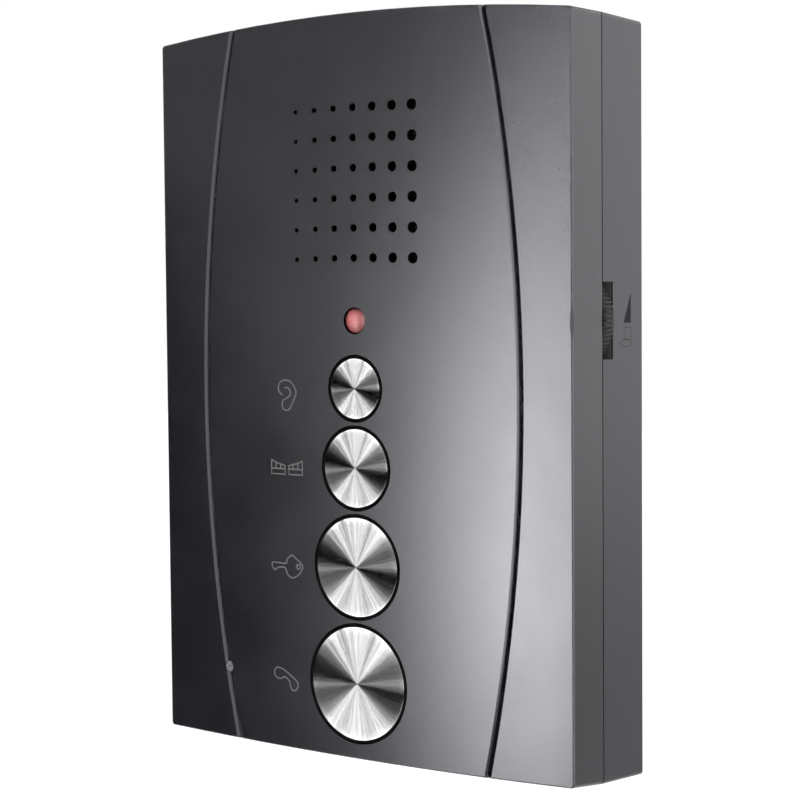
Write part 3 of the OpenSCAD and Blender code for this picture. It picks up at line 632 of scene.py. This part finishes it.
class STATION_OT_lamp(bpy.types.Operator):
    """Milky red status lamp with its domed lens"""

    bl_idname = "station.lamp"
    bl_label = "Status lamp"

    def execute(self, context):
        lamp = context.scene.station.lamp
        low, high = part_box("status_lamp")
        material, tree, shader = new_material(
            "lens_finish", Subsurface_Weight=0.2, Subsurface_Scale=0.6 * MM, Specular_IOR_Level=0.4
        )
        place = object_place(tree)
        flat = add(tree, "ShaderNodeVectorMath", {0: place, 1: (1.0, 0.0, 1.0)}, operation="MULTIPLY")
        axis = ((low.x + high.x) / 2, 0.0, (low.z + high.z) / 2)
        away = add(tree, "ShaderNodeVectorMath", {0: flat.outputs[0], 1: axis}, operation="DISTANCE")
        cloud = noise(tree, place, 1.5 / MM, 2.0)
        # Darker red towards the rim: painted shade of the dome's edge
        edge = spread(tree, away.outputs["Value"], 1.1 * MM, 2.5 * MM, 0.0, 1.0)
        feed(tree, shader.inputs["Base Color"], blend(tree, edge, lamp.lens, lamp.lens_rim_shade))
        feed(tree, shader.inputs["Roughness"], spread(tree, cloud, 0.3, 0.7, 0.24, 0.30))
        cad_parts["status_lamp"].data.materials[0] = material
        return {"FINISHED"}


class STATION_OT_wheel(bpy.types.Operator):
    """Ribbed thumbwheel of the volume control"""

    bl_idname = "station.wheel"
    bl_label = "Thumbwheel"

    def execute(self, context):
        wheel = context.scene.station.wheel
        black = grained("wheel_finish", wheel.colour, 0.6, 0.2 * MM, Specular_IOR_Level=0.12)
        low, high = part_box("volume_wheel")
        shaft_low, shaft_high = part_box("volume_shaft")
        centre = ((low.x + high.x) / 2, (low.z + high.z) / 2)
        clearance = 0.05 * MM
        bore = (shaft_high.x - shaft_low.x) / 2 + clearance
        points, faces = self.surface(wheel, centre, (high.x - low.x) / 2, bore, low.y, high.y)
        piece = new_piece("thumbwheel", points, faces, black)
        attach(piece, "volume_dial")
        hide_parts("volume_wheel")
        return {"FINISHED"}

    @staticmethod
    def surface(wheel, centre, radius, bore, front, rear):
        """Ribbed ring: the rim is R minus the rib depth times a smooth pulse of the angle.

        Over one rib's pitch, with u from -1/2 to 1/2, the pulse is 0 for |u| under 0.2, 1 over 0.34 and a
        smooth step between. The section goes from the bore over the front, the chamfered rim and the rear.
        """
        steps = 10
        angle = np.linspace(0.0, 2.0 * np.pi, wheel.ribs * steps, endpoint=False)
        u = np.abs((angle * wheel.ribs / (2.0 * np.pi) + 0.5) % 1.0 - 0.5)
        t = np.clip((u - 0.2) / (0.34 - 0.2), 0.0, 1.0)
        rim = radius - wheel.rib_depth * t * t * (3.0 - 2.0 * t)
        inner = np.full_like(rim, bore)
        shoulder = rim - wheel.chamfer
        rows = (
            (inner, front), (shoulder, front), (rim, front + wheel.chamfer),
            (rim, rear - wheel.chamfer), (shoulder, rear), (inner, rear),
        )
        r = np.stack([row[0] for row in rows])
        y = np.array([row[1] for row in rows])[:, None]
        x = centre[0] + r * np.cos(angle)
        z = centre[1] + r * np.sin(angle)
        points = np.stack(np.broadcast_arrays(x, y, z), axis=-1)
        return points.reshape(-1, 3), grid_faces(len(rows), len(angle), wrap_rows=True)


class STATION_OT_marks(bpy.types.Operator):
    """Printed pictures beside the buttons and the volume mark on the right side"""

    bl_idname = "station.marks"
    bl_label = "Printed marks"

    def execute(self, context):
        mark = context.scene.station.mark
        light = grained("picture_ink", mark.picture_colour, 0.45, 0.3 * MM, relief=0.001 * MM)
        dark = grained("wedge_ink", mark.wedge_colour, 0.8, 0.3 * MM, Specular_IOR_Level=0.15)
        pale = grained("horn_ink", mark.wedge_colour, 0.6, 0.3 * MM, Specular_IOR_Level=0.3)
        for name in BUTTONS:
            low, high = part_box(f"{name}_cap")
            origin = np.array([-mark.column, (low.z + high.z) / 2])
            points, faces = self.drawn(getattr(self, name)(), origin, mark)
            piece = new_piece(f"{name}_picture", on_front(points), faces, light)
            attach(piece, "station")
        wheel_low, wheel_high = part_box("volume_wheel")
        origin = np.array([wheel_high.y - FRONT_Y, (wheel_low.z + wheel_high.z) / 2])
        wedge = np.array([(4.5, -0.55), (7.3, -0.55), (7.3, 5.3)])
        points, faces = plate(origin + wedge * MM, mark.film)
        piece = new_piece("volume_mark", on_side(points), faces, dark)
        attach(piece, "station")
        points, faces = self.drawn(self.loudspeaker(), origin, mark)
        piece = new_piece("loudspeaker_mark", on_side(points), faces, pale)
        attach(piece, "station")
        return {"FINISHED"}

    @staticmethod
    def drawn(paths, origin, mark):
        """Ribbons along paths that are given in millimetres from an origin."""
        ribbons = [
            stroke(origin + np.asarray(path) * MM, closed, mark.line, mark.film) for path, closed in paths
        ]
        return merge(*ribbons)

    @staticmethod
    def listen():
        """An ear: the rim runs round the top and down to the lobe, then up and in to the hollow."""
        rim = [
            (-0.9, -1.8), (-1.9, -1.1), (-2.1, -0.3), (-1.8, 0.7), (-0.9, 1.3), (0.3, 1.35), (1.3, 1.0),
            (2.2, 0.1), (2.7, -1.1), (2.3, -2.3), (1.6, -3.6), (0.9, -4.7), (0.0, -5.0), (-0.9, -4.6),
            (-1.1, -3.6), (-0.8, -2.9), (0.3, -2.3), (1.1, -1.7), (1.1, -0.9), (0.6, -0.3), (0.0, -0.15),
            (-0.4, -0.4),
        ]
        return [(smooth(rim, False), False)]

    @staticmethod
    def gate():
        """A double gate: two leaves that are taller at their posts, with a rail and bars."""
        paths = []
        for side in (-1.0, 1.0):
            sign = np.array([side, 1.0])
            top = smooth([(0.5, -0.3), (1.7, 0.05), (3.0, 0.35), (4.2, 0.9)], False)
            leaf = np.concatenate([[(4.2, -2.1), (0.5, -2.1)], top])
            paths.append((leaf * sign, True))
            paths.append((np.array([(0.5, -0.95), (4.2, -0.95)]) * sign, False))
            paths += [(np.array([(x, -0.95), (x, x / 4 - 0.35)]) * sign, False) for x in (1.7, 3.0)]
        return paths

    @staticmethod
    def door():
        """A key: a rounded bow with a ring and a blade that ends in a bit."""
        key = [
            (-4.3, -0.6), (-2.6, -0.5), (-0.6, -0.5), (-0.1, 0.5), (1.1, 1.3), (2.3, 0.6), (3.4, -0.1),
            (4.0, -1.05), (3.4, -2.2), (2.3, -3.1), (1.1, -3.5), (-0.1, -2.9), (-0.7, -1.6), (-1.2, -1.4),
            (-2.4, -1.45), (-3.1, -1.75), (-3.6, -2.1), (-4.2, -1.6),
        ]
        return [(smooth(key, True), True), (arc((2.85, -1.05), 0.5, 0, 345, 16), True)]

    @staticmethod
    def talk():
        """A handset: two round ends joined by a bowed handle."""
        handset = [
            (-3.0, 1.25), (-1.8, 1.05), (-0.7, 0.55), (0.9, -0.45), (2.1, -1.3), (2.4, -2.2), (1.9, -3.1),
            (1.0, -3.3), (0.35, -2.75), (0.2, -1.8), (-0.5, -0.95), (-1.4, -0.6), (-2.1, -0.95), (-2.9, -1.1),
            (-3.8, -0.6), (-4.1, 0.1), (-3.8, 0.9),
        ]
        return [(smooth(handset, True), True)]

    @staticmethod
    def loudspeaker():
        """A loudspeaker that points down: a box with a flared mouth."""
        box = [(4.7, -1.5), (7.4, -1.5), (7.4, -3.8), (4.7, -3.8)]
        mouth = np.array([(5.4, -4.6)]) + np.array([(2.2, 0.7)]) * arc((0.0, 0.0), 1.0, 0, 345, 24)
        return [(box, True), (mouth, True)]


class STATION_OT_inner_works(bpy.types.Operator):
    """Finish of the pieces inside the case and of the screws at the back"""

    bl_idname = "station.inner_works"
    bl_label = "Inner works"

    def execute(self, context):
        finishes = {
            "steel": brushed("steel_finish", (0.55, 0.55, 0.57), 0.30),
            "brass_pins": brushed("brass_finish", (0.62, 0.46, 0.18), 0.28),
            "bare_aluminium": brushed("aluminium_finish", (0.72, 0.72, 0.74), 0.32),
            "black_plastic": grained("black_finish", (0.010, 0.010, 0.011), 0.5, 0.25 * MM),
            "stem_plastic": grained("stem_finish", (0.58, 0.57, 0.50), 0.4, 0.3 * MM),
            "grey_rubber": grained(
                "rubber_finish", (0.16, 0.16, 0.165), 0.8, 0.15 * MM, Specular_IOR_Level=0.25
            ),
            "ferrite": grained("ferrite_finish", (0.035, 0.035, 0.038), 0.55, 0.12 * MM, 0.3),
            "cone_paper": grained(
                "paper_finish", (0.016, 0.016, 0.016), 0.9, 0.35 * MM, 0.4, relief=0.04 * MM
            ),
            "black_cloth": woven("cloth_finish", (0.004, 0.004, 0.004), (0.016, 0.016, 0.016), 0.35 * MM),
            "tab_board": grained("tab_finish", (0.26, 0.15, 0.05), 0.5, 0.4 * MM, 0.25),
            "red_sleeve": grained("sleeve_finish", (0.34, 0.02, 0.015), 0.42, 0.3 * MM),
            "copper_wire": wound("winding_finish", (0.50, 0.19, 0.07), (0.20, 0.06, 0.02), 0.18 * MM),
            "green_board": laminate("board_finish", (0.010, 0.075, 0.030), (0.022, 0.135, 0.055), 2.2 * MM),
            "terminal_plastic": grained("terminal_finish", (0.020, 0.120, 0.045), 0.45, 0.3 * MM),
            "capacitor_can": wound("can_finish", (0.010, 0.014, 0.055), (0.014, 0.020, 0.075), 1.6 * MM, 0.0),
        }
        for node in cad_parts.values():
            finish = finishes.get(node.data.materials[0].name)
            if finish:
                node.data.materials[0] = finish
        return {"FINISHED"}


class STATION_OT_stage(bpy.types.Operator):
    """Camera, pale floor, white surroundings and studio light"""

    bl_idname = "station.stage"
    bl_label = "Stage"

    def execute(self, context):
        stage = context.scene.station.stage
        context.scene.view_settings.view_transform = "Standard"
        self.make_camera(context, stage)
        self.make_world(context, stage)
        self.make_floor(stage)
        self.make_lights(stage)
        return {"FINISHED"}

    @staticmethod
    def make_camera(context, stage):
        """Camera at the photograph's viewing angle."""
        data = bpy.data.cameras.new("camera")
        data.lens = stage.lens
        data.sensor_width = 36.0
        data.sensor_fit = "HORIZONTAL"
        data.clip_start = 0.01
        camera = link_new("camera", data)
        camera.location = stage.camera_place
        camera.rotation_euler = stage.camera_turn
        context.scene.camera = camera

    @staticmethod
    def seen_directly(tree):
        """1 for rays from the camera or off metal or glass, 0 for the rest."""
        path = add(tree, "ShaderNodeLightPath").outputs
        glossy = math_node(tree, "MAXIMUM", path["Is Glossy Ray"], path["Is Transmission Ray"])
        return math_node(tree, "MAXIMUM", path["Is Camera Ray"], glossy)

    def make_world(self, context, stage):
        """Soft light from all around, which the camera and metal see as white."""
        world = bpy.data.worlds.new("white_surroundings")
        world.use_nodes = True
        tree = world.node_tree
        tree.nodes.clear()
        soft = add(tree, "ShaderNodeBackground", {"Color": (1.0, 1.0, 1.0), "Strength": stage.ambient})
        white = add(tree, "ShaderNodeBackground", {"Color": (1.0, 1.0, 1.0), "Strength": 1.0})
        mixed = add(tree, "ShaderNodeMixShader", {0: self.seen_directly(tree)})
        tree.links.new(soft.outputs[0], mixed.inputs[1])
        tree.links.new(white.outputs[0], mixed.inputs[2])
        output = add(tree, "ShaderNodeOutputWorld")
        tree.links.new(mixed.outputs[0], output.inputs["Surface"])
        context.scene.world = world

    def make_floor(self, stage):
        """Pale floor, lifted to white where the camera or metal sees it."""
        lift, reach = 0.6, 4.0
        material, tree, shader = new_material("pale_floor", Roughness=0.9)
        place = object_place(tree)
        value = spread(tree, noise(tree, place, 3.0, 2.0), 0.3, 0.7, 0.99, 1.01)
        pale = add(tree, "ShaderNodeHueSaturation", {"Color": stage.floor_colour, "Value": value})
        feed(tree, shader.inputs["Base Color"], pale.outputs["Color"])
        feed(tree, shader.inputs["Emission Color"], (1.0, 1.0, 1.0))
        lifted = math_node(tree, "MULTIPLY", self.seen_directly(tree), lift)
        feed(tree, shader.inputs["Emission Strength"], lifted)
        z = cad_low.z - stage.floor_drop
        corners = np.array([(-reach, -reach, z), (reach, -reach, z), (reach, reach, z), (-reach, reach, z)])
        mesh = bpy.data.meshes.new("floor")
        mesh.from_pydata(corners.tolist(), [], [(0, 1, 2, 3)])
        mesh.materials.append(material)
        link_new("floor", mesh)

    def make_lights(self, stage):
        """Dark cards round the station, glowing cards inside them, the key, the face lights and a lamp."""
        left, sky_end, edge_end, side_end, dark_end, rear_end = -130.0, 5.0, 116.0, 184.0, 190.0, 245.0
        foot, top, rear_top = -0.33, 0.75, 0.35
        faces = [bpy.data.objects[f"{name}_face"] for name in BUTTONS]
        carriers = [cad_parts[f"{name}_carrier"] for name in BUTTONS]
        dull = self.group_of("not_in_panel_light", faces + carriers, "EXCLUDE")
        self.dark_card("dark_front", left, dark_end, foot, top)
        self.dark_card("dark_rear", dark_end, rear_end, foot, rear_top)
        self.make_sweep("sky_sweep", 0.60, (left, sky_end), (-0.012, top), self.sky_glow, dull, slant=-0.0385)
        self.make_sweep("edge_light", 0.55, (sky_end, edge_end), (-0.30, 0.40), self.edge_glow, dull)
        self.make_sweep("side_sweep", 0.60, (edge_end, side_end), (foot, 0.45), self.side_glow, dull)
        self.make_key(dull)
        for name, face in zip(BUTTONS, faces):
            self.make_face_light(name, face, np.array(stage.camera_place))
        self.make_lamp("top_light", (-0.1, -0.25, 0.75), (0.7, 0.5), 3.0)

    @staticmethod
    def group_of(name, objects, state):
        """Collection that an emitter lights alone, or leaves out."""
        group = bpy.data.collections.new(name)
        for item in objects:
            group.objects.link(item)
        for entry in group.collection_objects:
            entry.light_linking.link_state = state
        return group

    @staticmethod
    def make_lamp(name, place, size, power):
        """Rectangular lamp that looks at the middle of the frame."""
        data = bpy.data.lights.new(name, "AREA")
        data.shape = "RECTANGLE"
        data.size, data.size_y = size
        data.energy = power
        lamp = link_new(name, data)
        lamp.location = place
        lamp.rotation_euler = lamp.location.to_track_quat("Z", "Y").to_euler()
        lamp.visible_camera = False

    @staticmethod
    def ring(distance, start, end, count=41):
        """Points round the station at one distance; 0 degrees is straight in front, 90 on the right."""
        azimuth = np.radians(np.linspace(start, end, count))
        return np.stack([distance * np.sin(azimuth), -distance * np.cos(azimuth)], axis=1)

    @staticmethod
    def card(name, points, columns, material):
        """Sheet that the camera doesn't see and that throws no shadow."""
        mesh = bpy.data.meshes.new(name)
        faces = grid_faces(len(points) // columns, columns, wrap_columns=False)
        mesh.from_pydata(points.tolist(), [], faces.tolist())
        mesh.materials.append(material)
        piece = link_new(name, mesh)
        piece.visible_camera = False
        piece.visible_shadow = False
        return piece

    def dark_card(self, name, start, end, bottom, top):
        """Curved black card that only gloss sees."""
        distance = 0.62
        ring = self.ring(distance, start, end)
        points = np.concatenate([np.column_stack([ring, np.full(len(ring), z)]) for z in (bottom, top)])
        material, tree, shader = new_material(f"{name}_paint", Roughness=1.0, Specular_IOR_Level=0.0)
        feed(tree, shader.inputs["Base Color"], (0.0, 0.0, 0.0))
        self.card(name, points, len(ring), material).visible_diffuse = False

    def glowing_card(self, name, points, columns, glow, receivers):
        """Card that adds its stored glow to what lies behind it, for the receivers alone."""
        material = bpy.data.materials.new(f"{name}_glow")
        material.use_nodes = True
        material.cycles.emission_sampling = "NONE"
        tree = material.node_tree
        tree.nodes.clear()
        stored = add(tree, "ShaderNodeAttribute", attribute_name="glow").outputs["Fac"]
        emission = add(tree, "ShaderNodeEmission", {"Color": (1.0, 1.0, 1.0), "Strength": stored})
        clear = add(tree, "ShaderNodeBsdfTransparent", {"Color": (1.0, 1.0, 1.0)})
        both = add(tree, "ShaderNodeAddShader", {0: emission.outputs[0], 1: clear.outputs[0]})
        output = add(tree, "ShaderNodeOutputMaterial")
        tree.links.new(both.outputs[0], output.inputs["Surface"])
        piece = self.card(name, points, columns, material)
        levels = piece.data.attributes.new("glow", "FLOAT", "POINT")
        levels.data.foreach_set("value", glow.ravel().astype(np.float32))
        piece.light_linking.receiver_collection = receivers
        return piece

    @staticmethod
    def sky_glow(azimuth, z):
        """Even level of the pale sky on the left."""
        return np.full_like(z, 0.74)

    @staticmethod
    def edge_glow(azimuth, z):
        """Level that the front edge and the flanks of the two grooves reflect, by azimuth."""
        at = (5.0, 48.0, 54.0, 68.0, 74.0, 116.0)
        return np.broadcast_to(np.interp(azimuth, at, (6.0, 6.0, 2.4, 2.4, 8.0, 6.0)), z.shape)

    @staticmethod
    def side_glow(azimuth, z):
        """Level on the right, which climbs fast over the lower part and slowly above."""
        at = (-0.17, -0.12, -0.08, -0.03, 0.14)
        return np.interp(z, at, (0.88, 1.10, 1.44, 1.73, 2.0))

    def make_sweep(self, name, distance, azimuths, heights, glow, receivers, slant=0.0):
        """Curved card whose glow is a function of azimuth and height.

        With a slant, in metres per degree, the card's foot tilts about one azimuth, within limits.
        """
        rows, columns = 27, 271
        slant_azimuth, most_fall, most_rise = -42.3, -0.03, 0.08
        azimuth = np.linspace(*azimuths, columns)
        ring = self.ring(distance, *azimuths, columns)
        foot = heights[0] + np.clip(slant * (azimuth - slant_azimuth), most_fall, most_rise)
        z = foot + (heights[1] - foot) * np.linspace(0.0, 1.0, rows)[:, None]
        points = np.concatenate([np.column_stack([ring, row]) for row in z])
        card = self.glowing_card(name, points, len(ring), glow(azimuth, z), receivers)
        card.visible_diffuse = False

    def make_key(self, receivers):
        """Tall soft light in front, to the left and low.

        Its glow falls off about as a Gaussian across and along it. The ridge leans right towards the top, and
        the glow narrows downwards and, above the middle, on its right.
        """
        middle = np.array([-0.2257, -0.4447, -0.10])
        across = np.array([0.934, -0.357, 0.0])
        up = np.array([0.0, 0.0, 1.0])
        spread_w, spread_h, reach, strength = 0.0267, 0.1144, 3.2, 22.9
        lean, narrowing, right_fall = 0.32, 0.1, 0.2
        fall_below, fall_above, top_ease = 1.1, 0.96, 0.1
        columns, rows = 27, 33
        u, v = np.meshgrid(np.linspace(-reach, reach, columns), np.linspace(-reach, reach, rows))
        points = middle + across * (u.reshape(-1, 1) * spread_w) + up * (v.reshape(-1, 1) * spread_h)
        off_ridge = (u - lean * np.clip(v, 0.0, None) ** 2) / (1.0 + narrowing * np.clip(v, -1.0, 1.0))
        off_ridge *= np.where(off_ridge > 0.0, 1.0 + right_fall * np.clip(2.0 * v, 0.0, 1.0), 1.0)
        along = v * np.where(v < 0.0, fall_below, fall_above - top_ease * np.clip(v - 1.0, 0.0, 1.0))
        glow = strength * np.exp(-0.5 * (np.abs(off_ridge) ** 2.2 + along**2))
        key = self.glowing_card("key_light", points, columns, glow, receivers)
        key.data.materials[0].cycles.emission_sampling = "AUTO"

    def make_face_light(self, name, face, camera):
        """Bright panels that one spun face alone reflects, above and below with dark gaps between them.

        For a half vector h that leans by p from the face's normal towards the direction t, the card's point
        lies along 2 (v.h) h - v, where v looks from the face to the camera. The glow depends on t alone.
        """
        distance, strength, upper_share, half_gap = 0.35, 5.3, 1.16, 2.6
        least_lean, most_lean = 11.0, 40.0
        low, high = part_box(f"{name}_cap")
        middle = np.array([(low.x + high.x) / 2, FRONT_Y, (low.z + high.z) / 2])
        view = camera - middle
        view /= np.linalg.norm(view)
        turn = np.radians(np.arange(0.0, 361.0))
        lean = np.radians(np.linspace(least_lean, most_lean, 6))[:, None]
        half = np.stack(np.broadcast_arrays(
            np.sin(lean) * np.cos(turn), -np.cos(lean), np.sin(lean) * np.sin(turn)), axis=-1)
        away = 2.0 * (half @ view)[..., None] * half - view
        points = (middle + distance * away).reshape(-1, 3)
        angle = np.degrees(turn) % 180.0
        level = np.clip((154.0 - angle) / 28.0, 0.0, 1.0) ** 2
        for start, end, glow in (
            (0.0, 1.0, 0.0), (1.0, 8.0, 0.46), (8.0, 12.0, 0.26), (12.0, 28.0, 0.12), (28.0, 34.0, 0.24),
            (34.0, 43.0, 0.36), (46.0, 66.0, 1.12),
        ):
            level = np.where((angle >= start) & (angle < end), glow, level)
        level = level * np.where(turn < np.pi, upper_share, 1.0)
        for gap in (69.0, 110.5, 246.0, 286.5):
            level = np.where(np.abs(np.degrees(turn) - gap) < half_gap, 0.0, level)
        glow = np.broadcast_to(strength * level, half.shape[:2])
        receivers = self.group_of(f"{name}_face_only", [face], "INCLUDE")
        self.glowing_card(f"{name}_face_light", points, len(turn), glow, receivers)


class STATION_PT_panel(bpy.types.Panel):
    """Lists the station's pieces and settings."""

    bl_idname = "STATION_PT_panel"
    bl_label = "Intercom Station"
    bl_space_type = "VIEW_3D"
    bl_region_type = "UI"
    bl_category = "Intercom"

    def draw(self, context):
        for operator in OPERATORS:
            self.layout.operator(operator.bl_idname)
        for group in ("shell", "button", "lamp", "wheel", "mark", "stage"):
            settings = getattr(context.scene.station, group)
            box = self.layout.box()
            box.label(text=group.capitalize())
            for key in type(settings).__annotations__:
                box.prop(settings, key)


OPERATORS = (
    STATION_OT_shells, STATION_OT_buttons, STATION_OT_lamp, STATION_OT_wheel, STATION_OT_marks,
    STATION_OT_inner_works, STATION_OT_stage,
)
CLASSES = (
    ShellSettings, ButtonSettings, LampSettings, WheelSettings, MarkSettings, StageSettings, StationSettings,
    *OPERATORS, STATION_PT_panel,
)


def register():
    for kind in CLASSES:
        bpy.utils.register_class(kind)
    bpy.types.Scene.station = bpy.props.PointerProperty(type=StationSettings)


def unregister():
    del bpy.types.Scene.station
    for kind in reversed(CLASSES):
        bpy.utils.unregister_class(kind)


def main():
    register()
    bpy.ops.station.shells()
    bpy.ops.station.buttons()
    bpy.ops.station.lamp()
    bpy.ops.station.wheel()
    bpy.ops.station.marks()
    bpy.ops.station.inner_works()
    bpy.ops.station.stage()


if __name__ == "__main__":
    main()
